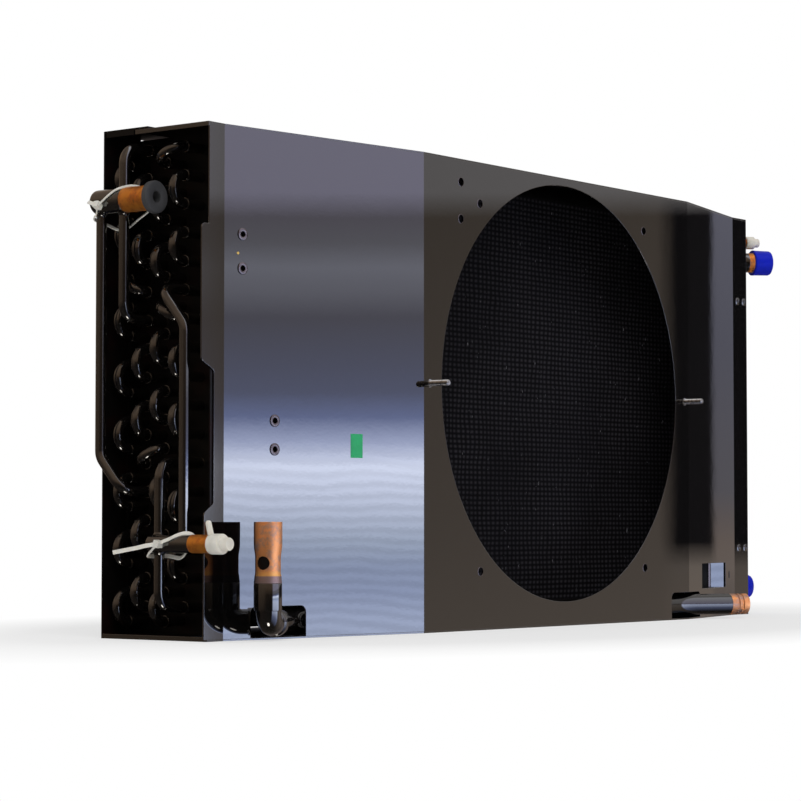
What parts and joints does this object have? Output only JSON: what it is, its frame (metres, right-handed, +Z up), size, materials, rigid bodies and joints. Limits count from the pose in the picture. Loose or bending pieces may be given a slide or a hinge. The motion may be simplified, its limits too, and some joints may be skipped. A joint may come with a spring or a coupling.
{
  "type": "refrigeration condenser",
  "caption": "Finned-tube condenser coil of a transport refrigeration unit, behind a folded black steel fan shroud, with copper manifold stubs and push-on shipping caps.",
  "frame": {"origin": "on the base, under the fan opening's axis and at the middle of the casing's depth", "axes": "+Z up, -Y out of the front through the fan opening, +X along the casing towards the end with the blue caps"},
  "size_m": [1.0304, 0.1977, 0.452],
  "materials": {
    "black_paint": "glossy black powder coat",
    "fins": "black coated aluminium fins",
    "copper": "bare copper, tarnished",
    "zinc": "zinc plated",
    "rubber": "matt grey-black rubber",
    "pale_plastic": "translucent off-white plastic",
    "blue_plastic": "blue plastic"
  },
  "bodies": {
    "casing": {"front_panel": "black_paint", "base_sheet": "black_paint", "top_sheet": "black_paint", "fan_studs": "zinc", "window_plate": "black_paint", "top_plate": "black_paint", "bottom_plate": "black_paint", "left_end_sheet": "black_paint", "right_end_sheet": "black_paint", "left_rear_strip": "black_paint", "right_rear_strip": "black_paint", "fin_pack": "fins", "return_bends": "black_paint", "crossover_bends": "black_paint", "hairpin_bends": "black_paint", "discharge_manifold": "black_paint", "discharge_stub": "copper", "feeder_top": "black_paint", "feeder_middle": "black_paint", "feeder_lower": "black_paint", "liquid_manifold": "black_paint", "liquid_stub": "copper", "outlet_upper": "black_paint", "outlet_middle": "black_paint", "outlet_lower": "black_paint", "transfer_pipe": "black_paint", "transfer_elbow": "black_paint", "transfer_coupling": "copper", "transfer_end": "copper", "line_saddles": "rubber", "right_header": "black_paint", "upper_stub": "copper", "lower_stub": "copper", "service_stub": "copper", "header_brackets": "zinc", "discharge_tie": "pale_plastic", "liquid_tie": "pale_plastic"},
    "plug": {"rubber_plug": "rubber"},
    "liquid_cap": {"liquid_cap": "pale_plastic"},
    "upper_cap": {"upper_blue_cap": "blue_plastic"},
    "lower_cap": {"lower_blue_cap": "blue_plastic"},
    "service_cap": {"service_cap": "pale_plastic"}
  },
  "joints": [
    {"name": "plug_pull", "type": "slide", "parent": "casing", "child": "plug", "axis": [0, -1, 0], "range_m": [0, 0.03]},
    {"name": "liquid_cap_pull", "type": "slide", "parent": "casing", "child": "liquid_cap", "axis": [0, -1, 0], "range_m": [0, 0.03]},
    {"name": "upper_cap_pull", "type": "slide", "parent": "casing", "child": "upper_cap", "axis": [0.7997, -0.6004, 0], "range_m": [0, 0.03]},
    {"name": "lower_cap_pull", "type": "slide", "parent": "casing", "child": "lower_cap", "axis": [0, -1, 0], "range_m": [0, 0.03]},
    {"name": "service_cap_pull", "type": "slide", "parent": "casing", "child": "service_cap", "axis": [0.7997, -0.6004, 0], "range_m": [0, 0.02]}
  ]
}
